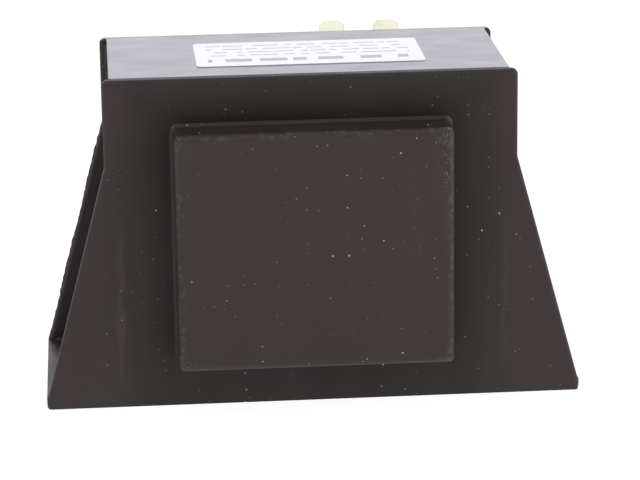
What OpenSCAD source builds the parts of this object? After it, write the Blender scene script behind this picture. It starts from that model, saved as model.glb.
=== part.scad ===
// Encapsulated mains transformer with screw-down feet and blade terminals.
// Millimetres. +Z up, front face towards -Y, base plane at Z = 0.
// The origin is midway between the two foot holes, on the base plane.

/* [Housing] */
// distance over the outer faces of the two end plates
body_d = 37.6; // [36.5:0.1:40]
// width of the box between the end plates
body_w = 71.3; // [70.5:0.1:72]
// width across the upper part of an end plate
plate_w = 74; // [73:0.2:76]
// width across the lower ends of an end plate
base_w = 97; // [95:0.5:100]
// height of the end plates
plate_h = 60.6; // [60.2:0.1:63]
// height at which the sloping edge of a plate begins
kink_z = 44.6; // [40:0.2:48]
// thickness of an end plate
plate_t = 2.2; // [1.8:0.1:2.4]
// height by which the end plates stand above the top of the box
plate_proud = 0.02; // [0.02:0.02:0.6]
// radius of the upper corners of an end plate
corner_r = 1; // [0.8:0.1:3]
// rounding round the perimeter of an end plate
edge_r = 0.6; // [0.3:0.1:0.8]
// thickness of the side walls of the box
wall_t = 1.8; // [1.4:0.1:2]

/* [Feet] */
// length over the two feet
foot_w = 97.4; // [97:0.2:101]
// thickness of a foot
foot_t = 1.8; // [1.6:0.1:2.4]
// distance between the two foot holes
hole_pitch = 84; // [82.5:0.5:85]
// diameter of a foot hole
hole_d = 4.5; // [3.4:0.1:5.5]

/* [Coil cover] */
// width of the front face of the cover
cover_w = 49.4; // [47.5:0.1:50]
// height of the front face of the cover
cover_h = 43.4; // [42.5:0.1:44]
// height of the centre of the cover
cover_z = 30.3; // [30:0.1:30.8]
// distance from the end plate to the front face of the cover
cover_p = 7.6; // [7.3:0.1:10]
// mould taper of the cover sides, in degrees
cover_draft = 0.5; // [0.3:0.1:2]
// corner radius of the front face of the cover
cover_r = 1; // [0.9:0.1:3]
// rounding of the front edge of the cover
cover_edge_r = 1.2; // [0.4:0.1:1.4]
// radius of the fillet where the cover meets the end plate
cover_base_r = 0.6; // [0.3:0.1:1]
// wall thickness of the cover
cover_t = 1.8; // [1.2:0.1:2]

/* [Core] */
// width of a lamination
core_w = 66; // [65.5:0.1:66.2]
// height of the assembled laminations
core_h = 55; // [54.5:0.1:55.2]
// thickness of the lamination stack
core_stack = 23; // [22:0.1:23.4]
// width of the centre leg
leg_w = 22; // [21.5:0.1:22.2]
// diameter of the corner holes in the laminations
core_hole_d = 4.5; // [3.5:0.1:5]
// height of the underside of the core above the base
core_z = 3.2; // [3:0.1:3.4]

/* [Coil] */
// thickness of the bobbin tube
tube_t = 1; // [0.8:0.1:1.4]
// thickness of a bobbin flange
flange_t = 1.2; // [1:0.1:1.6]
// distance the coil stands out in front of and behind the core
coil_over = 7.6; // [7:0.1:7.7]
// thickness of the film wrapped round each winding
tape_t = 0.4; // [0.3:0.1:0.6]

/* [Terminals] */
// width of a terminal blade
blade_w = 4.8; // [4.2:0.1:6.3]
// thickness of a terminal blade
blade_t = 0.8; // [0.5:0.1:1]
// length of the sloping part of a blade
blade_l = 8; // [7:0.1:9]
// distance of the inner blade of a pair from the centre
blade_x = 7.4; // [6:0.1:9]
// distance between the two blades of a pair
blade_pitch = 10.4; // [8:0.1:12]
// diameter of the detent hole in a blade
detent_d = 1.4; // [1:0.1:1.8]

/* [Label] */
// width of the label
label_w = 41.4; // [30:0.2:50]
// depth of the label
label_d = 19.3; // [14:0.1:24]
// thickness of the label
label_t = 0.12; // [0.1:0.01:0.18]

/* [Hidden] */

// Steps in the rounded edges, and in the corners of the lofted outlines.
edge_steps = 4;
plate_steps = 5;
cover_steps = 7;

// Housing.
front_y = -body_d / 2;
rear_y = body_d / 2;
box_h = plate_h - plate_proud;
cavity_w = body_w - 2 * wall_t;
cavity_y = front_y + plate_t;
cavity_r = 0.7;
roof_gap = 0.3;
resin_y = rear_y - 0.8;
fillet_r = 0.7;
pocket_w = cover_w - 2 * cover_t;
pocket_h = cover_h - 2 * cover_t;
pocket_y = front_y - cover_p + cover_t;
pocket_r = 1.2;

// Corners of an end plate, anticlockwise seen from the front, with their radii. The
// outline runs a little below the base plane, where the plate is cut off square.
plate_low = -0.45;
plate_p = [[-base_w / 2, plate_low], [base_w / 2, plate_low],
           [base_w / 2, foot_t], [plate_w / 2, kink_z],
           [plate_w / 2, plate_h], [-plate_w / 2, plate_h],
           [-plate_w / 2, kink_z], [-base_w / 2, foot_t]];
plate_radii = [0.7, 0.7, 4, 3, corner_r, corner_r, 3, 4];

// Core. Standard proportions: the yokes and outer legs are half the centre leg.
yoke = leg_w / 2;
core_y = cavity_y + 0.2;
core_top = core_z + core_h;
core_rear = core_y + core_stack;
win_z = core_z + yoke;
win_h = core_h - 2 * yoke;
win_w = (core_w - 2 * leg_w) / 2;
coil_z = win_z + win_h / 2;

// Coil. It fits the two windows with a small gap on every side.
coil_gap = 0.3;
bob_h = win_h - 2 * coil_gap;
bob_z = win_z + coil_gap;
bob_w = leg_w + 2 * win_w - 2 * coil_gap;
bob_d = core_stack + 2 * coil_over;
bob_y = core_y - coil_over;
tube_w = leg_w + 2 * tube_t;
tube_d = core_stack + 2 * tube_t;
tube_r = 0.6;
chamber_h = (bob_h - 3 * flange_t) / 2;
low_chamber = bob_z + flange_t;
high_chamber = low_chamber + flange_t + chamber_h;
wind_in = 1.6;
wind_w = bob_w - 2 * wind_in;
wind_d = bob_d - 2 * wind_in;
wind_r = 3;

// Terminal rails on the bobbin, above and below the rear coil end.
rail_w = 2 * (blade_x + blade_pitch) + blade_w + 2;
rail_h = 9.6;
rail_y = core_rear + coil_gap;
rail_d = coil_over - 2 * coil_gap - 1.5;
blade_up = 7.5;
rail_sink = 0.2;
tag_w = 2.4;
tag_inset = 1;
bend_r = 1.2;
blade_root_y = rear_y + 0.6;
blade_start_y = resin_y - 2;
chamfer = 1.2;
lead_d = 0.9;
lead_y = bob_y + bob_d - wind_in + lead_d / 2;

// ---------------------------------------------------------------- outlines

function unit(v) = v / norm(v);
function turn(a) = a > 180 ? a - 360 : a < -180 ? a + 360 : a;

// One corner of a closed outline: n + 1 points of an arc that touches both sides.
function corner(a, b, c, r, n) =
  let (u = unit(a - b), v = unit(c - b), half = acos(max(-1, min(1, u * v))) / 2,
       q = b + unit(u + v) * r / sin(half),
       s = b + u * r / tan(half) - q, e = b + v * r / tan(half) - q,
       a0 = atan2(s[1], s[0]), da = turn(atan2(e[1], e[0]) - a0))
  [for (i = [0:n]) q + r * [cos(a0 + da * i / n), sin(a0 + da * i / n)]];

// An outline with every corner rounded. p runs anticlockwise, r holds the radii.
function rounded(p, r, n) =
  let (m = len(p))
  [for (i = [0:m - 1]) each corner(p[(i + m - 1) % m], p[i], p[(i + 1) % m], r[i], n)];

function cross2(a, b) = a[0] * b[1] - a[1] * b[0];

// The corners of an outline moved inwards by d, and the radii that go with them.
function inset_p(p, d) =
  let (m = len(p))
  [for (i = [0:m - 1])
    let (u = unit(p[(i + m - 1) % m] - p[i]), v = unit(p[(i + 1) % m] - p[i]),
         half = acos(max(-1, min(1, u * v))) / 2, sgn = cross2(v, u) > 0 ? 1 : -1)
    p[i] + sgn * unit(u + v) * d / sin(half)];
function inset_r(p, r, d) =
  let (m = len(p))
  [for (i = [0:m - 1])
    let (u = p[(i + m - 1) % m] - p[i], v = p[(i + 1) % m] - p[i])
    cross2(v, u) > 0 ? max(r[i] - d, 0.15) : r[i] + d];
function ring(p, r, d, n) = rounded(inset_p(p, d), inset_r(p, r, d), n);

function rect(w, h, z) =
  [[-w / 2, z - h / 2], [w / 2, z - h / 2], [w / 2, z + h / 2], [-w / 2, z + h / 2]];

// A closed solid through rings of XZ points. ys holds the Y of each ring, rising.
// The rings are symmetric about X = 0, with n + 1 points a corner, lower left corner first,
// so each cap is a stack of level strips.
module loft(rings, ys, n) {
  m = len(rings[0]);
  k = len(rings);
  last = (k - 1) * m;
  pts = [for (j = [0:k - 1]) for (q = rings[j]) [q[0], ys[j], q[1]]];
  sides = [for (j = [0:k - 2]) for (i = [0:m - 1])
            [j * m + i, j * m + (i + 1) % m, (j + 1) * m + (i + 1) % m, (j + 1) * m + i]];
  left = [for (i = [0:m / 2 - 1]) (n - i + m) % m];
  right = [for (i = [0:m / 2 - 1]) (n + 1 + i) % m];
  front = [for (i = [0:m / 2 - 2]) [left[i], left[i + 1], right[i + 1], right[i]]];
  back = [for (i = [0:m / 2 - 2])
           [last + right[i], last + right[i + 1], last + left[i + 1], last + left[i]]];
  polyhedron(pts, concat(front, back, sides), convexity = 6);
}

// A flat bar with rounded vertical corners: w by d, from z up to z + h.
module round_bar(w, d, h, r) {
  linear_extrude(h) round_rect(w, d, r);
}

module round_rect(w, d, r) {
  square([w - 2 * r, d], center = true);
  square([w, d - 2 * r], center = true);
  for (sx = [-1, 1], sy = [-1, 1])
    translate([sx * (w / 2 - r), sy * (d / 2 - r)]) circle(r, $fn = 32);
}

// The concave strip that fills an inner corner, along +Z, in the quadrant +X +Y.
module fillet_strip(l, r) {
  linear_extrude(l) difference() {
    translate([-0.2, -0.2]) square(r + 0.2);
    translate([r, r]) circle(r, $fn = 32);
  }
}

// ----------------------------------------------------------------- housing

// An end plate, rounded on both faces along its top and sides. y0 is its front face.
module end_plate(y0) {
  near = [for (i = [0:edge_steps]) 90 * i / edge_steps];
  far = [for (i = [0:edge_steps]) 90 - 90 * i / edge_steps];
  rings = concat(
    [for (a = near) ring(plate_p, plate_radii, edge_r * (1 - sin(a)), plate_steps)],
    [for (a = far) ring(plate_p, plate_radii, edge_r * (1 - sin(a)), plate_steps)]);
  ys = concat(
    [for (a = near) y0 + edge_r * (1 - cos(a))],
    [for (a = far) y0 + plate_t - edge_r * (1 - cos(a))]);
  difference() {
    loft(rings, ys, plate_steps);
    translate([-base_w, y0 - 1, -5]) cube([2 * base_w, plate_t + 2, 5]);
  }
}

// The cover over the front coil end: tapered sides, a filleted foot and a rounded edge.
module coil_cover() {
  sink = 0.03;
  wall_l = cover_p - cover_base_r - cover_edge_r;
  face = rect(cover_w, cover_h, cover_z);
  radii = [cover_r, cover_r, cover_r, cover_r];
  flare = wall_l * tan(cover_draft);
  edge = [for (i = [0:edge_steps]) 90 - 90 * i / edge_steps];
  root = [for (i = [0:3]) 90 - 90 * i / 3];
  rings = concat(
    [for (a = edge) ring(face, radii, cover_edge_r * (1 - cos(a)), cover_steps)],
    [for (a = root) ring(face, radii, -flare - cover_base_r * (1 - sin(a)), cover_steps)],
    [ring(face, radii, -flare - cover_base_r, cover_steps)]);
  ys = concat(
    [for (a = edge) front_y - cover_p + cover_edge_r * (1 - sin(a))],
    [for (a = root) front_y + sink - cover_base_r * sin(a)],
    [front_y + plate_t / 2]);
  loft(rings, ys, cover_steps);
}

// The space inside the moulding that takes the core and coil.
module cavity() {
  translate([0, rear_y + 1, core_z]) rotate([90, 0, 0])
    linear_extrude(rear_y + 1 - cavity_y)
      translate([0, (core_h + roof_gap) / 2]) round_rect(cavity_w, core_h + roof_gap, cavity_r);
  translate([0, cavity_y + 1, cover_z]) rotate([90, 0, 0])
    linear_extrude(cavity_y + 1 - pocket_y) round_rect(pocket_w, pocket_h, pocket_r);
}

module foot_end() {
  cut = 0.5;
  wide = foot_w / 2;
  polygon([[0, 0], [wide - cut, 0], [wide, cut], [wide, foot_t], [0, foot_t]]);
}

// Fillets where the box and the feet meet the end plates, on the +X side.
module side_fillets() {
  side_x = body_w / 2;
  in_front = front_y + plate_t;
  in_rear = rear_y - plate_t;
  up_l = box_h - foot_t - 1;
  foot_run = base_w / 2 - side_x - 1.2;
  translate([side_x, in_front, foot_t]) fillet_strip(up_l, fillet_r);
  translate([side_x, in_rear, foot_t]) mirror([0, 1, 0]) fillet_strip(up_l, fillet_r);
  translate([side_x, in_front, foot_t]) mirror([0, 1, 0]) rotate([90, 0, 0])
    fillet_strip(in_rear - in_front, fillet_r);
  translate([side_x, in_front, foot_t]) multmatrix([[0, 0, 1, 0], [1, 0, 0, 0], [0, 1, 0, 0]])
    fillet_strip(foot_run, fillet_r);
  translate([side_x, in_rear, foot_t]) mirror([0, 1, 0])
    multmatrix([[0, 0, 1, 0], [1, 0, 0, 0], [0, 1, 0, 0]]) fillet_strip(foot_run, fillet_r);
}

module housing() {
  inside = plate_t / 2;
  color("#2b2727") difference() {
    union() {
      end_plate(front_y);
      end_plate(rear_y - plate_t);
      coil_cover();
      translate([-body_w / 2, front_y + inside, 0]) cube([body_w, body_d - 2 * inside, box_h]);
      for (side = [0, 1]) mirror([side, 0, 0]) {
        translate([0, rear_y - inside, 0]) rotate([90, 0, 0])
          linear_extrude(body_d - 2 * inside) foot_end();
        side_fillets();
      }
    }
    cavity();
    for (sx = [-1, 1])
      translate([sx * hole_pitch / 2, 0, -1]) cylinder(h = foot_t + 2, d = hole_d, $fn = 64);
  }
}

// -------------------------------------------------------------------- core

module lamination_blank(h) {
  translate([0, core_rear, 0]) rotate([90, 0, 0]) linear_extrude(core_stack)
    translate([0, h / 2]) square([core_w, h], center = true);
}

module corner_holes(z) {
  for (sx = [-1, 1])
    translate([sx * (core_w - yoke) / 2, core_rear + 1, z]) rotate([90, 0, 0])
      cylinder(h = core_stack + 2, d = core_hole_d, $fn = 48);
}

// E laminations: two windows open upwards.
module core_e_stack() {
  color("#6f7276") difference() {
    translate([0, 0, core_z]) lamination_blank(core_h - yoke);
    for (sx = [-1, 1])
      translate([sx * (leg_w + win_w) / 2, core_y + core_stack / 2, win_z + win_h / 2 + 1])
        cube([win_w, core_stack + 2, win_h + 2], center = true);
    corner_holes(core_z + yoke / 2);
  }
}

// I laminations: the bar that closes the windows.
module core_i_stack() {
  color("#777a7e") difference() {
    translate([0, 0, core_top - yoke]) lamination_blank(yoke);
    corner_holes(core_top - yoke / 2);
  }
}

// -------------------------------------------------------------------- coil

// A rectangular ring round the centre leg, outer w by d with corner radius r.
module coil_ring(w, d, z, h, r) {
  translate([0, core_y + core_stack / 2, z]) difference() {
    round_bar(w, d, h, r);
    children();
  }
}

// The openings of such rings: the square leg, and the rounded outside of the tube.
module leg_opening() {
  translate([0, 0, -1]) linear_extrude(core_h) square([leg_w, core_stack], center = true);
}

module tube_opening() {
  translate([0, 0, -1]) round_bar(tube_w, tube_d, core_h, tube_r);
}

module rail(z) {
  translate([-rail_w / 2, rail_y, z]) cube([rail_w, rail_d, rail_h]);
}

// The notch in a flange that lets a winding end pass.
module lead_notch(s, i) {
  translate([blade_pos(i), lead_y + 2 - lead_d / 2, coil_z + s * (bob_h - flange_t) / 2])
    cube([lead_d + 0.6, 4, flange_t + 0.2], center = true);
}

// Two-chamber bobbin with a terminal rail at each end, behind the core yokes.
module bobbin() {
  top = bob_z + bob_h;
  color("#e9e4d4") difference() {
    union() {
      coil_ring(tube_w, tube_d, bob_z, bob_h, tube_r) leg_opening();
      for (z = [bob_z, bob_z + flange_t + chamber_h, top - flange_t])
        coil_ring(bob_w, bob_d, z, flange_t, 1.5) leg_opening();
      rail(top - rail_sink);
      rail(bob_z - rail_h + rail_sink);
    }
    for (s = [-1, 1], i = [0, 1]) {
      blade_slot(s, i);
      lead_notch(s, i);
    }
  }
}

module winding(z) {
  coil_ring(wind_w - 2 * tape_t, wind_d - 2 * tape_t, z, chamber_h, wind_r) tube_opening();
}

module tape(z) {
  coil_ring(wind_w, wind_d, z, chamber_h, wind_r + tape_t)
    translate([0, 0, -1])
      round_bar(wind_w - 2 * tape_t, wind_d - 2 * tape_t, chamber_h + 2, wind_r);
}

module primary_winding() { color("#b8692e") winding(high_chamber); }
module secondary_winding() { color("#b8692e") winding(low_chamber); }
module primary_tape() { color("#d8b43a") tape(high_chamber); }
module secondary_tape() { color("#d8b43a") tape(low_chamber); }

// --------------------------------------------------------------- terminals

// s is +1 for the upper rail and -1 for the lower one. i is 0 or 1 in a pair.
function blade_pos(i) = blade_x + i * blade_pitch;
function blade_z(s) = coil_z + s * (bob_h / 2 + blade_up);

// Side view of a blade, Y across and Z up: a flat run, a rounded bend and a 45 degree rise.
module blade_profile() {
  t = blade_t;
  steps = 6;
  c = [blade_root_y, bend_r + t];
  out = [for (i = [0:steps]) let (a = -90 + 45 * i / steps) c + (bend_r + t) * [cos(a), sin(a)]];
  in = [for (i = [0:steps]) let (a = -45 - 45 * i / steps) c + bend_r * [cos(a), sin(a)]];
  run = blade_l * [cos(45), sin(45)];
  translate([0, -t / 2])
    polygon(concat([[blade_start_y, 0]], out, [out[steps] + run, in[0] + run], in,
                   [[blade_start_y, t]]));
}

module blade(s, i) {
  mid_r = bend_r + blade_t / 2;
  tip_y = blade_root_y + mid_r * sin(45) + blade_l * cos(45);
  tip_z = mid_r * (1 - cos(45)) + blade_l * sin(45);
  detent = 2.2;
  color("#d9b75c") translate([blade_pos(i), 0, blade_z(s)]) {
    difference() {
      multmatrix([[0, 0, 1, -blade_w / 2], [1, 0, 0, 0], [0, 1, 0, 0]])
        linear_extrude(blade_w) blade_profile();
      for (side = [-1, 1])
        translate([side * blade_w / 2, tip_y, tip_z]) rotate([45, 0, 0]) rotate([0, 0, 45])
          cube([chamfer, chamfer, 4], center = true);
      translate([0, tip_y - detent, tip_z - detent]) rotate([45, 0, 0])
        cylinder(h = 4, d = detent_d, center = true, $fn = 32);
    }
    translate([-tag_w / 2, rail_y + tag_inset, -blade_t / 2])
      cube([tag_w, blade_start_y - rail_y - tag_inset + 0.2, blade_t]);
  }
}

// The part of the rail that a blade's tag passes through.
module blade_slot(s, i) {
  translate([blade_pos(i) - tag_w / 2, rail_y + tag_inset, blade_z(s) - blade_t / 2])
    cube([tag_w, 20, blade_t]);
}

module primary_blade_a() { blade(1, 0); }
module primary_blade_b() { blade(1, 1); }
module secondary_blade_a() { blade(-1, 0); }
module secondary_blade_b() { blade(-1, 1); }

// --------------------------------------------------------------- lead wires

// A winding end: from outside the film, through the flange's notch, to a solder
// joint on the blade.
module lead(s, i) {
  solder_h = 0.8;
  l = blade_up - blade_t / 2 + flange_t + chamber_h / 2;
  color("#c9823f") translate([blade_pos(i), lead_y, blade_z(s) - s * blade_t / 2])
    mirror([0, 0, s > 0 ? 1 : 0]) {
      cylinder(h = l, d = lead_d, $fn = 24);
      cylinder(h = solder_h, r1 = 0.62, r2 = lead_d / 2, $fn = 24);
    }
}

module primary_lead_a() { lead(1, 0); }
module primary_lead_b() { lead(1, 1); }
module secondary_lead_a() { lead(-1, 0); }
module secondary_lead_b() { lead(-1, 1); }

// ------------------------------------------------------------------- resin

module everything_potted() {
  core_e_stack();
  core_i_stack();
  bobbin();
  primary_winding();
  secondary_winding();
  primary_tape();
  secondary_tape();
  for (s = [-1, 1], i = [0, 1]) {
    blade(s, i);
    lead(s, i);
  }
}

// Casting resin: fills the cavity up to just below the rear rim.
module potting_resin() {
  color("#1c1a1a") difference() {
    intersection() {
      cavity();
      translate([-100, -100, -10]) cube([200, 100 + resin_y, 100]);
    }
    everything_potted();
  }
}

module label() {
  color("#f4f2f4") translate([0.9, 0, box_h]) round_bar(label_w, label_d, label_t, 1);
}

housing();
potting_resin();
core_e_stack();
core_i_stack();
bobbin();
primary_winding();
secondary_winding();
primary_tape();
secondary_tape();
primary_blade_a();
primary_blade_b();
secondary_blade_a();
secondary_blade_b();
primary_lead_a();
primary_lead_b();
secondary_lead_a();
secondary_lead_b();
label();
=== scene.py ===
"""Looks for an encapsulated mains transformer, built round its packed CAD model.

Every length is in metres, as in the model. A size given in millimetres is written N * MM.
"""

import math

import bpy
from bpy.props import FloatProperty, FloatVectorProperty, IntProperty, PointerProperty
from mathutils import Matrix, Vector, noise


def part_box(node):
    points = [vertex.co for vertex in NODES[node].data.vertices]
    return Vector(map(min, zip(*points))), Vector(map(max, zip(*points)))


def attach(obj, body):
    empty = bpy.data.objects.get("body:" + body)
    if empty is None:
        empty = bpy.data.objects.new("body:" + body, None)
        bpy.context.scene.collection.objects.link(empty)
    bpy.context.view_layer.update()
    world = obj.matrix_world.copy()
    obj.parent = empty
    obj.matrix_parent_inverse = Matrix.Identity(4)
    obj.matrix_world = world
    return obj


bl_info = {
    "name": "Encapsulated Transformer Looks",
    "version": (1, 0, 0),
    "blender": (4, 5, 0),
    "location": "View3D > Sidebar > Transformer",
    "description": "Finishes, resin face, mould flash and studio for a potted transformer",
    "category": "Object",
}

MM = 0.001

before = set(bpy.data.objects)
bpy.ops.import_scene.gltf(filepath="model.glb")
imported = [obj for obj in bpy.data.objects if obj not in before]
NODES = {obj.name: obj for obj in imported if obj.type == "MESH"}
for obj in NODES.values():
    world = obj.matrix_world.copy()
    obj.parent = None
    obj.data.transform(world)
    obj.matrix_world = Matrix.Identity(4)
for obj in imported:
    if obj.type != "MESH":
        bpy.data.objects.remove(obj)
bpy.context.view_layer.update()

HOUSING_LOW, HOUSING_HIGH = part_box("housing")
RESIN_LOW, RESIN_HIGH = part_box("potting_resin")
LABEL_LOW, LABEL_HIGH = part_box("label")

# The coil cover's half width, underside and top, and where its front rounding ends.
COVER_X, COVER_LOW, COVER_HIGH = 24.7 * MM, 8.6 * MM, 52.0 * MM
COVER_EDGE = HOUSING_LOW.y + 1.3 * MM
# The face of the front plate, and half the room between the two plates.
PLATE_FRONT = HOUSING_LOW.y + 7.6 * MM
PLATE_INNER = 16.5 * MM
# The half width at which the box's walls meet the plates, and the heights of a foot's top.
WALL_X = 34.8 * MM
FOOT_LOW, FOOT_HIGH = 1.2 * MM, 2.4 * MM
# The upper and lower end of an end plate's slope, as half width and height.
SLOPE_TOP, SLOPE_FOOT = (37.0 * MM, 44.6 * MM), (48.5 * MM, 1.8 * MM)

# CAD points closer than this are one point, and bends below this angle are shaded smooth.
WELD = 0.002 * MM
SMOOTH_BELOW = math.radians(33)

# Colours of loose dust, of rubbed plastic and of plain white.
DUST = (0.60, 0.59, 0.58, 1.0)
SCUFF = (0.17, 0.16, 0.16, 1.0)
WHITE = (1.0, 1.0, 1.0, 1.0)

BLADES = ("primary_blade_a", "primary_blade_b", "secondary_blade_a", "secondary_blade_b")
LEADS = ("primary_lead_a", "primary_lead_b", "secondary_lead_a", "secondary_lead_b")


# ------------------------------------------------------------------ shader maths


class Value:
    """A number output of a node. Arithmetic on it adds Math nodes to its tree."""

    def __init__(self, finish, socket):
        self.finish = finish
        self.socket = socket

    def math(self, operation, *others):
        """The result of a Math node on this value and the others."""
        terms = dict(enumerate((self, *others)))
        return self.finish.node("ShaderNodeMath", {"operation": operation}, terms)

    def __add__(self, other):
        return self.math("ADD", other)

    __radd__ = __add__

    def __mul__(self, other):
        return self.math("MULTIPLY", other)

    __rmul__ = __mul__

    def __sub__(self, other):
        return self.math("SUBTRACT", other)

    def __rsub__(self, other):
        terms = {0: other, 1: self}
        return self.finish.node("ShaderNodeMath", {"operation": "SUBTRACT"}, terms)

    def __truediv__(self, other):
        return self.math("DIVIDE", other)

    def __gt__(self, other):
        return self.math("GREATER_THAN", other)

    def __lt__(self, other):
        return self.math("LESS_THAN", other)

    def __abs__(self):
        return self.math("ABSOLUTE")

    def most(self, other):
        """The larger of this and other."""
        return self.math("MAXIMUM", other)

    def least(self, other):
        """The smaller of this and other."""
        return self.math("MINIMUM", other)

    def bell(self, centre, width):
        """1 at centre, falling smoothly to 0 a few widths away."""
        away = (self - centre) / width
        return (away * away * -1.0).math("EXPONENT")

    def rise(self, start, end):
        """0 before start, 1 after end, smooth between."""
        settings = {"interpolation_type": "SMOOTHSTEP"}
        return self.finish.node(
            "ShaderNodeMapRange", settings, {"Value": self, "From Min": start, "From Max": end}
        )


class Finish:
    """A material that is built up node by node round one Principled shader."""

    def __init__(self, name):
        self.material = bpy.data.materials.new(name)
        self.material.use_nodes = True
        self.tree = self.material.node_tree
        self.tree.nodes.clear()
        self.output = self.tree.nodes.new("ShaderNodeOutputMaterial")
        self.shader = self.tree.nodes.new("ShaderNodeBsdfPrincipled")
        self.tree.links.new(self.shader.outputs["BSDF"], self.output.inputs["Surface"])
        self.place = self.node("ShaderNodeTexCoord", {}, {}, "Object")
        axes = self.node("ShaderNodeSeparateXYZ", {}, {"Vector": self.place}, None)
        self.x, self.y, self.z = (Value(self, axes.outputs[name]) for name in "XYZ")

    def feed(self, socket, value):
        """Puts a number, a colour or another node's output into a socket."""
        if isinstance(value, Value):
            self.tree.links.new(value.socket, socket)
        else:
            socket.default_value = value

    def node(self, kind, settings, values, output=0):
        """Adds a node, applies its settings, fills its sockets and returns one output."""
        made = self.tree.nodes.new(kind)
        for name, setting in settings.items():
            setattr(made, name, setting)
        for name, value in values.items():
            self.feed(made.inputs[name], value)
        return made if output is None else Value(self, made.outputs[output])

    def cloud(self, size, detail=2.0, stretch=(1.0, 1.0, 1.0), seed=0.0):
        """Soft noise from 0 to 1 whose blobs are about size across, drawn out along stretch."""
        scale = tuple(1.0 / (size * s) for s in stretch)
        shifted = self.node(
            "ShaderNodeVectorMath",
            {"operation": "MULTIPLY_ADD"},
            {0: self.place, 1: scale, 2: (seed, seed * 0.7, seed * 1.3)},
        )
        return self.node(
            "ShaderNodeTexNoise", {}, {"Vector": shifted, "Scale": 1.0, "Detail": detail}
        )

    def specks(self, spacing, size, share, seed=0.0):
        """1 on small scattered dots of mixed sizes, on that share of places, and 0 elsewhere.

        The dots lie on a slanted plane, so they stay round on the front and the top, and on
        the plane of y and z where a face looks sideways."""
        facing = self.node("ShaderNodeNewGeometry", {}, {}, "Normal")
        ways = self.node("ShaderNodeSeparateXYZ", {}, {"Vector": facing}, None)
        side = abs(Value(self, ways.outputs["X"])) > 0.7
        across = (self.x + self.y * (side * 0.63 + 0.37)) / spacing + seed
        up = (self.z + self.y * (0.61 - side * 0.61)) / spacing + seed * 1.7
        plane = self.node("ShaderNodeCombineXYZ", {}, {"X": across, "Y": up})
        flat = {"voronoi_dimensions": "2D"}
        cells = self.node("ShaderNodeTexVoronoi", flat, {"Vector": plane, "Scale": 1.0}, None)
        draw = Value(self, cells.outputs["Color"])
        luck = self.node("ShaderNodeSeparateColor", {}, {"Color": draw}, None)
        chance, bulk = Value(self, luck.outputs["Red"]), Value(self, luck.outputs["Green"])
        radius = (bulk * bulk + 0.35) * (size / spacing)
        near = 1.0 - Value(self, cells.outputs["Distance"]).rise(radius * 0.4, radius)
        return near * (chance < share)

    def blend(self, mask, low, high):
        """A colour that goes from low to high as mask goes from 0 to 1."""
        return self.node("ShaderNodeMix", {"data_type": "RGBA"}, {0: mask, 6: low, 7: high}, 2)

    def relief(self, height, depth, normal=None):
        """The surface normal with height, from 0 to 1, raised by depth."""
        values = {"Height": height, "Distance": depth, "Strength": 1.0}
        if normal is not None:
            values["Normal"] = normal
        return self.node("ShaderNodeBump", {}, values)

    def surface(self, **values):
        """Feeds the shader's sockets, written in lower case with underscores."""
        for name, value in values.items():
            self.feed(self.shader.inputs[name.replace("_", " ").title()], value)


def rgb(colour):
    """A colour of three numbers with full alpha."""
    return (colour[0], colour[1], colour[2], 1.0)


def dress(names, finish):
    """Gives CAD nodes a finish in their object's own material slots."""
    for name in names:
        for place in NODES[name].material_slots:
            place.material = finish.material


# ---------------------------------------------------------------------- settings


class HousingSettings(bpy.types.PropertyGroup):
    """Moulded housing."""

    # Colour of the plastic on open faces, away from the painted shade round the cover.
    colour: FloatVectorProperty(
        name="Unshaded colour",
        description="Colour of the plastic under a thin film of dust, on the open faces",
        subtype="COLOR",
        size=3,
        default=(0.0285, 0.0175, 0.0175),
    )
    # Painted shade: this darker colour close round the cover stands in for the cover's shadow;
    # the smudges on the cover's face are drawn in it too.
    shade_and_stain_colour: FloatVectorProperty(
        name="Shade and stain colour",
        description="Colour of the plastic close round the cover, where no dust lies",
        subtype="COLOR",
        size=3,
        default=(0.0055, 0.0013, 0.0004),
    )
    roughness: FloatProperty(
        name="Roughness",
        description="Roughness of the satin faces",
        subtype="FACTOR",
        min=0.0,
        max=1.0,
        default=0.62,
    )
    gloss_roughness: FloatProperty(
        name="Top roughness",
        description="Roughness of the smooth top of the box",
        subtype="FACTOR",
        min=0.0,
        max=1.0,
        default=0.3,
    )
    dust_size: FloatProperty(
        name="Dust size",
        description="Radius of a speck of dust",
        subtype="DISTANCE",
        default=0.17 * MM,
    )
    dust_share: FloatProperty(
        name="Dust",
        description="Share of places that hold a speck",
        subtype="FACTOR",
        min=0.0,
        max=1.0,
        default=0.16,
    )
    sink_depth: FloatProperty(
        name="Sink depth",
        description="Depth of the sink marks where the box joins the end plates",
        subtype="DISTANCE",
        default=0.05 * MM,
    )
    flash_height: FloatProperty(
        name="Flash height",
        description="Height of the moulding flash along the rear plate's slopes",
        subtype="DISTANCE",
        default=0.25 * MM,
    )


class ResinSettings(bpy.types.PropertyGroup):
    """Casting resin."""

    colour: FloatVectorProperty(
        name="Resin colour",
        description="Base colour of the resin",
        subtype="COLOR",
        size=3,
        default=(0.010, 0.009, 0.009),
    )
    creep: FloatProperty(
        name="Creep",
        description="How far the resin creeps up the walls",
        subtype="DISTANCE",
        default=0.5 * MM,
    )
    cells: IntProperty(
        name="Cells", description="Grid cells across the resin's width", min=1, default=150
    )


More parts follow.
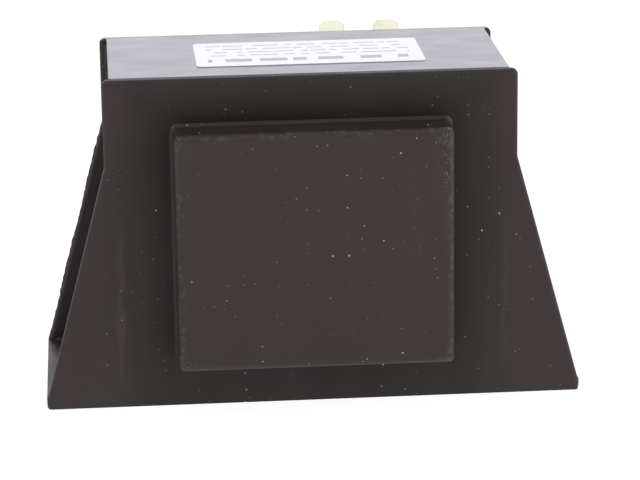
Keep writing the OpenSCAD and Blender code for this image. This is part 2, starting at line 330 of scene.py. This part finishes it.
class MetalSettings(bpy.types.PropertyGroup):
    """Terminals, core and wire."""

    brass: FloatVectorProperty(
        name="Brass",
        description="Colour of the blades",
        subtype="COLOR",
        size=3,
        default=(0.80, 0.79, 0.64),
    )
    steel: FloatVectorProperty(
        name="Steel",
        description="Colour of the laminations",
        subtype="COLOR",
        size=3,
        default=(0.38, 0.38, 0.40),
    )
    copper: FloatVectorProperty(
        name="Copper",
        description="Colour of the enamelled wire",
        subtype="COLOR",
        size=3,
        default=(0.60, 0.24, 0.09),
    )
    sheet: FloatProperty(
        name="Sheet thickness",
        description="Thickness of one lamination",
        subtype="DISTANCE",
        default=0.5 * MM,
    )
    blade_bevel: FloatProperty(
        name="Blade bevel",
        description="Rounding of the blade edges",
        subtype="DISTANCE",
        default=0.07 * MM,
    )


class LabelSettings(bpy.types.PropertyGroup):
    """Printed label."""

    paper: FloatVectorProperty(
        name="Paper",
        description="Colour of the label",
        subtype="COLOR",
        size=3,
        default=(0.93, 0.92, 0.95),
    )
    ink: FloatVectorProperty(
        name="Ink",
        description="Colour of the plain bars on the label",
        subtype="COLOR",
        size=3,
        default=(0.17, 0.17, 0.20),
    )


class StageSettings(bpy.types.PropertyGroup):
    """Floor, lights and camera."""

    camera_place: FloatVectorProperty(
        name="Camera place",
        description="Where the camera stands",
        subtype="TRANSLATION",
        size=3,
        default=(-38.3 * MM, -524.6 * MM, 177.4 * MM),
    )
    camera_turn: FloatVectorProperty(
        name="Camera turn",
        description="Rotation of the camera",
        subtype="EULER",
        size=3,
        default=tuple(math.radians(a) for a in (73.828, 0.708, -4.675)),
    )
    lens: FloatProperty(
        name="Lens",
        description="Focal length on a 36 mm sensor, in millimetres",
        unit="CAMERA",
        default=165.4,
    )
    room: FloatProperty(name="Room light", description="Strength of the plain room", default=0.12)
    floor: FloatVectorProperty(
        name="Floor",
        description="Colour of the floor",
        subtype="COLOR",
        size=3,
        default=(0.12, 0.12, 0.12),
    )
    floor_glow: FloatProperty(
        name="Floor glow", description="Light given off by the floor", default=0.94
    )


# ----------------------------------------------------------------------- housing


def weld_and_smooth(node, bevel=0.0):
    """Shades a CAD node smooth across its slight bends, with flat faces kept flat.

    Sharper edges are rounded by bevel, if it is given."""
    group = bpy.data.node_groups.new("weld_and_smooth", "GeometryNodeTree")
    group.interface.new_socket("Geometry", in_out="INPUT", socket_type="NodeSocketGeometry")
    group.interface.new_socket("Geometry", in_out="OUTPUT", socket_type="NodeSocketGeometry")
    nodes, links = group.nodes, group.links
    start, end = nodes.new("NodeGroupInput"), nodes.new("NodeGroupOutput")
    weld = nodes.new("GeometryNodeMergeByDistance")
    weld.inputs["Distance"].default_value = WELD
    smooth = nodes.new("GeometryNodeSetShadeSmooth")
    smooth.domain = "FACE"
    bend = nodes.new("GeometryNodeInputMeshEdgeAngle")
    steep = nodes.new("FunctionNodeCompare")
    steep.operation = "GREATER_THAN"
    steep.inputs["B"].default_value = SMOOTH_BELOW
    sharpen = nodes.new("GeometryNodeSetShadeSmooth")
    sharpen.domain = "EDGE"
    sharpen.inputs["Shade Smooth"].default_value = False
    links.new(start.outputs[0], weld.inputs["Geometry"])
    links.new(weld.outputs[0], smooth.inputs["Geometry"])
    links.new(smooth.outputs[0], sharpen.inputs["Geometry"])
    links.new(bend.outputs["Unsigned Angle"], steep.inputs["A"])
    links.new(steep.outputs[0], sharpen.inputs["Selection"])
    links.new(sharpen.outputs[0], end.inputs[0])
    NODES[node].modifiers.new("weld_and_smooth", "NODES").node_group = group
    if bevel:
        rounding = NODES[node].modifiers.new("rounding", "BEVEL")
        rounding.width = bevel
        rounding.segments = 2
        rounding.limit_method = "ANGLE"
        rounding.angle_limit = SMOOTH_BELOW
    flat = NODES[node].modifiers.new("flat_faces", "WEIGHTED_NORMAL")
    flat.keep_sharp = True
    flat.weight = 100


def sink_marks(finish):
    """1 along the wavering lines where the box's walls pull the plates in, low down."""
    x, y, z = finish.x, finish.y, finish.z
    wobble = (finish.cloud(3.5 * MM, 2.0, seed=5.5) - 0.5) * (2.6 * MM)
    on_plate = (abs(y) > -PLATE_FRONT - 0.3 * MM) * (1.0 - z.rise(24 * MM, 38 * MM))
    sink = (abs(x) + wobble).bell(WALL_X, 0.6 * MM) * on_plate * z.rise(3 * MM, 10 * MM)
    fainter_right = 1.0 - (x > 0.0) * 0.5
    return sink * fainter_right


def cover_scuffs(finish):
    """Scuffs on the cover's rim, corners and right edge, and a lighter spot at the root of its
    top corners, from 0 to 1.
    """
    x, y, z = finish.x, finish.y, finish.z
    past_side = abs(x) - COVER_X
    corner = past_side.bell(0.0, 2.4 * MM) * (
        z.bell(COVER_LOW, 2.4 * MM) + z.bell(COVER_HIGH, 2.0 * MM)
    )
    rim = past_side.bell(-0.5 * MM, 0.7 * MM) + z.bell(COVER_HIGH - 0.4 * MM, 0.6 * MM)
    rubbed = x.bell(COVER_X - 1.3 * MM, 1.4 * MM) * z.rise(33 * MM, 44 * MM)
    broad = finish.cloud(1.2 * MM, 4.0, seed=2.3).rise(0.5, 0.66)
    fine = finish.cloud(0.3 * MM, 3.0, seed=4.9).rise(0.52, 0.64)
    worn = (corner.most(rim * 0.45) * broad).most((corner * 0.8 + rubbed * 0.6) * fine)
    # A smooth lighter spot where the cover's top corners meet the plate.
    root = past_side.bell(0.2 * MM, 0.7 * MM) * z.bell(COVER_HIGH + 0.3 * MM, 0.5 * MM)
    return (worn * (y < COVER_EDGE)).most(root * 0.6 * (y < PLATE_FRONT)).least(1.0)


def face_smudges(finish):
    """Short dark streaks on the cover's face, just under its upper edge."""
    streaks = finish.cloud(1.0 * MM, 3.0, (2.6, 1.0, 1.0), seed=5.2).rise(0.6, 0.68)
    near_edge = finish.z.bell(COVER_HIGH - 3.2 * MM, 1.3 * MM)
    return streaks * near_edge * (finish.y < HOUSING_LOW.y + 0.3 * MM)


def painted_cover_shade(finish, blotches):
    """How far the colour is lifted out of the painted shade round the cover: 0 close round the
    cover, where the darker colour stands in for its shadow, and 1 on open faces, lighter towards
    the top.
    """
    y, z = finish.y, finish.z
    past_side = abs(finish.x) - COVER_X
    over_top, under = z - COVER_HIGH, COVER_LOW - z
    film = past_side.most(over_top).most(under * 0.35).rise(0.0, 13 * MM)
    film = film.most((y < PLATE_FRONT - 0.05 * MM) * 0.55)
    film = film.most((y < COVER_EDGE) * 0.9)
    film = film.most(y.rise(PLATE_FRONT + 1 * MM, PLATE_FRONT + 3 * MM))
    return film * (0.76 + blotches * 0.3 + z * (0.24 / HOUSING_HIGH.z))


def loose_dust(finish, size, share):
    """Specks of dust in two sizes, thicker in some places than in others."""
    crowd = finish.cloud(16 * MM, 2.0, seed=7.7).rise(0.3, 0.7) * 1.4 + 0.3
    coarse = finish.specks(3.1 * MM, size, crowd * share, seed=0.4)
    return coarse.most(finish.specks(1.9 * MM, size * 0.55, crowd * share, seed=9.0))


def housing_finish(settings):
    """Satin black plastic with moulding grain, sink marks, scuffs and dust, with painted shade
    round the cover and painted highlights along the sink marks.
    """
    finish = Finish("housing_plastic")
    y, z = finish.y, finish.z
    blotches = finish.cloud(14 * MM, 3.0, seed=3.1)
    grain = finish.cloud(0.35 * MM, 3.0, seed=1.7)
    flow = finish.cloud(5 * MM, 4.0, (1.0, 1.0, 6.0), seed=8.2)
    drawn = finish.cloud(3.2 * MM, 3.0, (2.8, 1.0, 1.0), seed=6.4)
    sink, scuff, smudge = sink_marks(finish), cover_scuffs(finish), face_smudges(finish)
    # film is the painted shade mask round the cover, 0 where the shade is darkest.
    film = painted_cover_shade(finish, blotches)
    dust = loose_dust(finish, settings.dust_size, settings.dust_share)

    # Painted highlight: the sink lines are painted paler, standing in for the light caught by
    # their dip.
    pale = rgb([c * 1.9 + 0.005 for c in settings.colour])
    # Painted shade: the colour darkens close round the cover, standing in for its shadow.
    colour = finish.blend(film, rgb(settings.shade_and_stain_colour), rgb(settings.colour))
    colour = finish.blend(sink * 0.5, colour, pale)
    colour = finish.blend(scuff * 0.6, colour, SCUFF)
    colour = finish.blend(smudge * 0.6, colour, rgb(settings.shade_and_stain_colour))
    colour = finish.blend(dust * 0.75, colour, DUST)

    top = (z > HOUSING_HIGH.z - 0.6 * MM) * (y > -PLATE_INNER)
    foot = (z > FOOT_LOW) * (z < FOOT_HIGH) * (abs(y) < PLATE_INNER)
    satin = settings.roughness + (flow - 0.5) * 0.16 + (blotches - 0.5) * 0.1 - foot * 0.14
    polished = settings.gloss_roughness + (drawn - 0.5) * 0.13
    roughness = satin * (1.0 - top) + polished * top + scuff * 0.15 + dust * 0.3

    normal = finish.relief(sink * -1.0, settings.sink_depth)
    normal = finish.relief(flow, 0.02 * MM, normal)
    normal = finish.relief(grain, 0.006 * MM, normal)
    finish.surface(base_color=colour, roughness=roughness, normal=normal)
    return finish


class TRANSFORMER_OT_housing(bpy.types.Operator):
    """Gives the moulded housing its finish and smooth shading"""

    bl_idname = "transformer.housing"
    bl_label = "Finish Housing"

    def execute(self, context):
        settings = context.scene.transformer_housing
        dress(["housing"], housing_finish(settings))
        weld_and_smooth("housing")
        return {"FINISHED"}


def flash_strip(name, path, depth, height):
    """A ragged fin of moulding flash along path, a list of (x, z) points, at that depth."""
    step, sunk, thick = 0.3 * MM, 0.15 * MM, 0.06 * MM
    fray, sweep = 1.1 * MM, 6 * MM
    limit = HOUSING_HIGH.x - 0.01 * MM
    points, faces = [], []
    for a, b in zip(path, path[1:]):
        along = Vector((b[0] - a[0], b[1] - a[1]))
        out = Vector((-along.y, along.x)).normalized()
        if out.x * a[0] < 0:
            out.negate()
        count = max(1, round(along.length / step))
        for i in range(count + (b == path[-1])):
            x, z = Vector(a) + along * (i / count)
            ragged = noise.noise(Vector((x, z, depth)) / fray)
            slow = noise.noise(Vector((z, depth, x)) / sweep)
            tall = height * min(1.0, max(0.05, 0.45 + ragged * 0.7 + slow * 0.9))
            tip = max(-limit, min(limit, x + out.x * tall))
            root_x, root_z = x - out.x * sunk, z - out.y * sunk
            points += [
                (root_x, depth - thick, root_z),
                (tip, depth, max(z + out.y * tall, 0.0)),
                (root_x, depth + thick, root_z),
            ]
    last = len(points) - 3
    for k in range(0, last, 3):
        for i in range(3):
            j = (i + 1) % 3
            faces.append((k + i, k + j, k + 3 + j, k + 3 + i))
    faces += [(2, 1, 0), (last, last + 1, last + 2)]
    mesh = bpy.data.meshes.new(name)
    mesh.from_pydata(points, [], faces)
    mesh.validate()
    return bpy.data.objects.new(name, mesh)


class TRANSFORMER_OT_flash(bpy.types.Operator):
    """Adds ragged moulding flash on the rear plate's slopes and the front plate's feet"""

    bl_idname = "transformer.flash"
    bl_label = "Add Mould Flash"

    def execute(self, context):
        height = context.scene.transformer_housing.flash_height
        half_plate = 1.1 * MM
        rear, front = HOUSING_HIGH.y - half_plate, PLATE_FRONT + half_plate
        for side, word in ((-1, "left"), (1, "right")):
            top = (side * SLOPE_TOP[0], SLOPE_TOP[1])
            foot = (side * SLOPE_FOOT[0], SLOPE_FOOT[1])
            base = (side * SLOPE_FOOT[0], 0.0)
            for name, path, depth in (
                (f"flash_rear_{word}", [top, foot], rear),
                (f"flash_front_{word}", [foot, base], front),
            ):
                strip = flash_strip(name, path, depth, height)
                context.scene.collection.objects.link(strip)
                strip.data.materials.append(NODES["housing"].material_slots[0].material)
                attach(strip, "root")
        return {"FINISHED"}


# ------------------------------------------------------------------------- resin


def resin_finish(settings):
    """Glossy black casting resin with a slow ripple and a few pin holes."""
    finish = Finish("cast_resin")
    ripple = finish.cloud(16 * MM, 2.0, seed=4.0)
    haze = finish.cloud(7 * MM, 4.0, seed=6.1)
    pins = finish.specks(7 * MM, 0.3 * MM, 0.25, seed=2.0)
    dust = finish.specks(3.4 * MM, 0.13 * MM, 0.2, seed=5.0)
    plain, hazy, fluff = rgb(settings.colour), (0.022, 0.020, 0.019, 1.0), (0.5, 0.5, 0.48, 1.0)
    colour = finish.blend(haze.rise(0.35, 0.8) * 0.6, plain, hazy)
    colour = finish.blend(dust * 0.7, colour, fluff)
    normal = finish.relief(ripple, 0.35 * MM)
    normal = finish.relief(1.0 - pins, 0.1 * MM, normal)
    roughness = 0.14 + haze.rise(0.4, 0.9) * 0.16 + dust * 0.3
    finish.surface(base_color=colour, roughness=roughness, normal=normal)
    return finish


def resin_height(x, z, creep, stubs):
    """How far the cast surface stands above its flat level at a point of the opening."""
    wall_reach, stub_reach, half_blade, ripple = 0.9 * MM, 0.7 * MM, 0.4 * MM, 14 * MM
    wall = min(x - RESIN_LOW.x, RESIN_HIGH.x - x, z - RESIN_LOW.z, RESIN_HIGH.z - z)
    height = creep * math.exp(-max(wall, 0.0) / wall_reach)
    for low, high in stubs:
        dx = max(low.x - x, 0.0, x - high.x)
        dz = abs(z - (low.z + half_blade)) - half_blade
        height += creep * 0.8 * math.exp(-math.hypot(dx, max(dz, 0.0)) / stub_reach)
    slow = noise.noise(Vector((x, 0.0, z)) / ripple)
    return 0.03 * MM + min(height, creep * 1.1) + (slow + 1.0) * 0.04 * MM


def resin_mesh(settings):
    """The cast face as a grid over the opening, with a skirt that dips into the resin."""
    skirt = 0.1 * MM
    wide, tall = RESIN_HIGH.x - RESIN_LOW.x, RESIN_HIGH.z - RESIN_LOW.z
    across = settings.cells
    up = round(across * tall / wide)
    stubs = [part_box(name) for name in BLADES]
    points, faces = [], []
    for j in range(up + 1):
        z = RESIN_LOW.z + tall * j / up
        for i in range(across + 1):
            x = RESIN_LOW.x + wide * i / across
            rise = resin_height(x, z, settings.creep, stubs)
            points.append((x, RESIN_HIGH.y + rise, z))
    row = across + 1
    for j in range(up):
        for i in range(across):
            a = j * row + i
            faces.append((a, a + row, a + row + 1, a + 1))
    rim = list(range(row))
    rim += [j * row + across for j in range(1, up + 1)]
    rim += [up * row + i for i in range(across - 1, -1, -1)]
    rim += [j * row for j in range(up - 1, 0, -1)]
    first = len(points)
    points += [(points[k][0], RESIN_HIGH.y - skirt, points[k][2]) for k in rim]
    for n, k in enumerate(rim):
        after = (n + 1) % len(rim)
        faces.append((k, rim[after], first + after, first + n))
    mesh = bpy.data.meshes.new("resin_face")
    mesh.from_pydata(points, [], faces)
    mesh.validate()
    mesh.shade_smooth()
    return mesh


class TRANSFORMER_OT_resin(bpy.types.Operator):
    """Builds the cast face of the resin, which creeps up the walls and the blades"""

    bl_idname = "transformer.resin"
    bl_label = "Cast Resin Face"

    def execute(self, context):
        settings = context.scene.transformer_resin
        mesh = resin_mesh(settings)
        face = bpy.data.objects.new("resin_face", mesh)
        context.scene.collection.objects.link(face)
        finish = resin_finish(settings)
        mesh.materials.append(finish.material)
        dress(["potting_resin"], finish)
        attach(face, "root")
        return {"FINISHED"}


# --------------------------------------------------------------- core and coil


def laminated_finish(settings):
    """Stacked steel sheets: a dark line at every joint and faint rolling marks."""
    finish = Finish("laminated_steel")
    place = finish.y / settings.sheet
    edge = abs(place.math("FRACT") - 0.5).rise(0.36, 0.5)
    marks = finish.cloud(2.2 * MM, 5.0, (6.0, 1.0, 1.0), seed=1.0)
    rust = finish.cloud(9 * MM, 4.0, seed=3.0).rise(0.58, 0.8)
    steel, gap, rusty = rgb(settings.steel), (0.03, 0.03, 0.035, 1.0), (0.20, 0.09, 0.04, 1.0)
    colour = finish.blend(marks, steel, rgb([c * 0.7 for c in settings.steel]))
    colour = finish.blend(edge * 0.7, colour, gap)
    colour = finish.blend(rust * 0.3, colour, rusty)
    normal = finish.relief(1.0 - edge, 0.08 * MM)
    finish.surface(
        base_color=colour,
        metallic=1.0,
        roughness=0.38 + marks * 0.15 + rust * 0.2,
        normal=normal,
    )
    return finish


def wire_finish(settings, pitch):
    """Turns of enamelled copper wire laid side by side, with painted shade in the grooves between
    turns.
    """
    finish = Finish("enamelled_copper")
    turn = abs((finish.z / pitch).math("FRACT") - 0.5) * 2.0
    crown = (1.0 - turn * turn).most(0.0).math("SQRT")
    lay = finish.cloud(1.4 * MM, 3.0, (5.0, 5.0, 1.0), seed=7.0)
    copper, groove_shade = rgb(settings.copper), (0.05, 0.015, 0.006, 1.0)
    colour = finish.blend(lay * 0.6, copper, rgb([c * 0.55 for c in settings.copper]))
    # Painted shade: darker colour in the grooves between the turns.
    colour = finish.blend(1.0 - crown.rise(0.0, 0.5), colour, groove_shade)
    finish.surface(
        base_color=colour,
        metallic=0.85,
        roughness=0.24 + lay * 0.18,
        coat_weight=0.6,
        coat_roughness=0.12,
        normal=finish.relief(crown, pitch * 0.4),
    )
    return finish


def film_finish():
    """Yellow polyester film with faint wrapping creases."""
    finish = Finish("polyester_film")
    crease = finish.cloud(3.5 * MM, 4.0, (3.0, 3.0, 0.6), seed=5.2)
    yellow, amber = (0.80, 0.60, 0.08, 1.0), (0.62, 0.43, 0.05, 1.0)
    colour = finish.blend(crease, yellow, amber)
    normal = finish.relief(crease, 0.08 * MM)
    finish.surface(base_color=colour, roughness=0.2 + crease * 0.15, normal=normal)
    return finish


def bobbin_finish():
    """Natural moulded nylon."""
    finish = Finish("bobbin_nylon")
    flow = finish.cloud(8 * MM, 3.0, seed=2.7)
    grain = finish.cloud(0.5 * MM, 2.0, seed=8.8)
    cream, tan = (0.80, 0.76, 0.64, 1.0), (0.70, 0.65, 0.52, 1.0)
    colour = finish.blend(flow, cream, tan)
    normal = finish.relief(grain, 0.01 * MM)
    finish.surface(
        base_color=colour, roughness=0.42 + flow * 0.12, normal=normal, subsurface_weight=0.15
    )
    return finish


class TRANSFORMER_OT_coil(bpy.types.Operator):
    """Finishes the core, bobbin, windings, film and leads inside the resin"""

    bl_idname = "transformer.coil"
    bl_label = "Finish Core and Coil"

    def execute(self, context):
        settings = context.scene.transformer_metal
        dress(["core_e_stack", "core_i_stack"], laminated_finish(settings))
        fine_pitch, coarse_pitch = 0.45 * MM, 0.9 * MM
        dress(["primary_winding"], wire_finish(settings, fine_pitch))
        dress(["secondary_winding"], wire_finish(settings, coarse_pitch))
        dress(LEADS, wire_finish(settings, coarse_pitch))
        dress(["primary_tape", "secondary_tape"], film_finish())
        dress(["bobbin"], bobbin_finish())
        return {"FINISHED"}


# -------------------------------------------------------------------- terminals


def brass_finish(settings):
    """Rolled brass strip with fine marks along the blade and a little tarnish."""
    finish = Finish("rolled_brass")
    marks = finish.cloud(0.5 * MM, 4.0, (0.25, 8.0, 8.0), seed=3.3)
    tarnish = finish.cloud(2.5 * MM, 4.0, seed=6.6).rise(0.5, 0.78)
    brass, brown = rgb(settings.brass), (0.55, 0.38, 0.16, 1.0)
    colour = finish.blend(marks * 0.5, brass, rgb([c * 0.86 for c in settings.brass]))
    colour = finish.blend(tarnish * 0.35, colour, brown)
    finish.surface(
        base_color=colour,
        metallic=1.0,
        roughness=0.26 + marks * 0.12 + tarnish * 0.12,
        normal=finish.relief(marks, 0.006 * MM),
    )
    return finish


class TRANSFORMER_OT_blades(bpy.types.Operator):
    """Gives the terminal blades rounded edges and a brass finish"""

    bl_idname = "transformer.blades"
    bl_label = "Finish Blades"

    def execute(self, context):
        settings = context.scene.transformer_metal
        dress(BLADES, brass_finish(settings))
        for name in BLADES:
            weld_and_smooth(name, settings.blade_bevel)
        return {"FINISHED"}


# ------------------------------------------------------------------------- label


# The label's rows of bars: distance below its upper edge, height and word length in
# millimetres, and seed.
LABEL_ROWS = (
    (3.0, 0.6, 2.2, 4.0),
    (5.6, 0.6, 2.8, 11.0),
    (8.2, 0.6, 2.0, 23.0),
    (10.8, 0.6, 2.4, 41.0),
    (14.9, 2.2, 3.4, 31.0),
)
LABEL_MARGIN = 2.2 * MM


def label_bars(finish, down, height, word, seed):
    """1 on one row of bars, each as long as a word or so."""
    steps = finish.node(
        "ShaderNodeTexNoise",
        {"noise_dimensions": "1D"},
        {"W": finish.x / word + seed, "Scale": 1.0, "Detail": 1.0},
    )
    return (abs(finish.y - (LABEL_HIGH.y - down)) < height / 2) * (steps > 0.45)


def label_finish(settings):
    """Coated white label with plain grey bars in rows, and no lettering."""
    finish = Finish("coated_label")
    first, *others = (
        label_bars(finish, down * MM, height * MM, word * MM, seed)
        for down, height, word, seed in LABEL_ROWS
    )
    bars = first
    for row in others:
        bars = bars.most(row)
    inside = (finish.x > LABEL_LOW.x + LABEL_MARGIN) * (finish.x < LABEL_HIGH.x - LABEL_MARGIN)
    fibre = finish.cloud(0.3 * MM, 3.0, seed=1.1)
    shaded = rgb([c * 0.94 for c in settings.paper])
    paper = finish.blend(fibre * 0.3, rgb(settings.paper), shaded)
    colour = finish.blend(bars * inside * 0.8, paper, rgb(settings.ink))
    finish.surface(
        base_color=colour, roughness=0.34 + fibre * 0.1, normal=finish.relief(fibre, 0.004 * MM)
    )
    return finish


class TRANSFORMER_OT_label(bpy.types.Operator):
    """Gives the label its paper and its plain bars"""

    bl_idname = "transformer.label"
    bl_label = "Finish Label"

    def execute(self, context):
        dress(["label"], label_finish(context.scene.transformer_label))
        return {"FINISHED"}


# ------------------------------------------------------------------------- stage


# The lights: name, place, width, depth and power, and colour.
LIGHTS = (
    ("back_light", (0.1, 1.5, 0.55), 2.4, 0.8, 15.0, (0.91, 0.91, 1.0)),
    ("overhead_light", (-0.1, -0.3, 1.2), 1.5, 1.5, 8.0, WHITE[:3]),
    ("left_light", (-1.1, -0.45, 0.4), 0.9, 0.9, 3.5, WHITE[:3]),
    ("right_light", (1.1, -0.45, 0.4), 0.9, 0.9, 8.0, WHITE[:3]),
)
LIGHT_AIM = (0.0, 0.0, 30 * MM)
FLOOR_HALF = 3.0


def soft_box(name, place, width, depth, power, colour):
    """A large soft light that shines from place towards the object's middle."""
    lamp = bpy.data.lights.new(name, "AREA")
    lamp.shape = "RECTANGLE"
    lamp.size = width
    lamp.size_y = depth
    lamp.energy = power
    lamp.color = colour
    holder = bpy.data.objects.new(name, lamp)
    holder.location = place
    beam = Vector(LIGHT_AIM) - Vector(place)
    holder.rotation_euler = beam.to_track_quat("-Z", "Y").to_euler()
    holder.visible_camera = False
    bpy.context.scene.collection.objects.link(holder)


def pale_floor(settings):
    """A wide pale floor that glows a little, just under the base."""
    half = FLOOR_HALF
    mesh = bpy.data.meshes.new("floor")
    corners = [(-half, -half, 0), (half, -half, 0), (half, half, 0), (-half, half, 0)]
    mesh.from_pydata(corners, [], [(0, 1, 2, 3)])
    floor = bpy.data.objects.new("floor", mesh)
    floor.location.z = HOUSING_LOW.z - 0.02 * MM
    finish = Finish("pale_floor")
    finish.surface(
        base_color=rgb(settings.floor),
        roughness=0.7,
        emission_color=WHITE,
        emission_strength=settings.floor_glow,
    )
    mesh.materials.append(finish.material)
    return floor


class TRANSFORMER_OT_stage(bpy.types.Operator):
    """Sets the floor, the lights and the camera"""

    bl_idname = "transformer.stage"
    bl_label = "Set Stage"

    def execute(self, context):
        settings = context.scene.transformer_stage
        scene = context.scene
        scene.view_settings.view_transform = "Standard"
        world = bpy.data.worlds.new("plain_room")
        world.use_nodes = True
        room = world.node_tree.nodes["Background"]
        room.inputs["Color"].default_value = WHITE
        room.inputs["Strength"].default_value = settings.room
        scene.world = world

        floor = pale_floor(settings)
        scene.collection.objects.link(floor)
        for light in LIGHTS:
            soft_box(*light)

        lens = bpy.data.cameras.new("camera")
        lens.lens = settings.lens
        lens.sensor_width = 36.0
        lens.clip_start = 0.01
        camera = bpy.data.objects.new("camera", lens)
        camera.location = settings.camera_place
        camera.rotation_euler = settings.camera_turn
        scene.collection.objects.link(camera)
        scene.camera = camera
        return {"FINISHED"}


# ------------------------------------------------------------------------- panel

GROUPS = {
    "transformer_housing": HousingSettings,
    "transformer_resin": ResinSettings,
    "transformer_metal": MetalSettings,
    "transformer_label": LabelSettings,
    "transformer_stage": StageSettings,
}
OPERATORS = (
    TRANSFORMER_OT_housing,
    TRANSFORMER_OT_flash,
    TRANSFORMER_OT_resin,
    TRANSFORMER_OT_coil,
    TRANSFORMER_OT_blades,
    TRANSFORMER_OT_label,
    TRANSFORMER_OT_stage,
)


class TRANSFORMER_PT_panel(bpy.types.Panel):
    """Lists the settings and the steps in order"""

    bl_idname = "TRANSFORMER_PT_panel"
    bl_label = "Transformer"
    bl_space_type = "VIEW_3D"
    bl_region_type = "UI"
    bl_category = "Transformer"

    def draw(self, context):
        for name, group in GROUPS.items():
            box = self.layout.box()
            box.label(text=group.__doc__)
            for prop in group.__annotations__:
                box.prop(getattr(context.scene, name), prop)
        for operator in OPERATORS:
            self.layout.operator(operator.bl_idname)


def register():
    for name, group in GROUPS.items():
        bpy.utils.register_class(group)
        setattr(bpy.types.Scene, name, PointerProperty(type=group))
    for operator in OPERATORS:
        bpy.utils.register_class(operator)
    bpy.utils.register_class(TRANSFORMER_PT_panel)


def unregister():
    bpy.utils.unregister_class(TRANSFORMER_PT_panel)
    for operator in reversed(OPERATORS):
        bpy.utils.unregister_class(operator)
    for name, group in GROUPS.items():
        delattr(bpy.types.Scene, name)
        bpy.utils.unregister_class(group)


def main():
    register()
    bpy.ops.transformer.housing()
    bpy.ops.transformer.flash()
    bpy.ops.transformer.resin()
    bpy.ops.transformer.coil()
    bpy.ops.transformer.blades()
    bpy.ops.transformer.label()
    bpy.ops.transformer.stage()


if __name__ == "__main__":
    main()
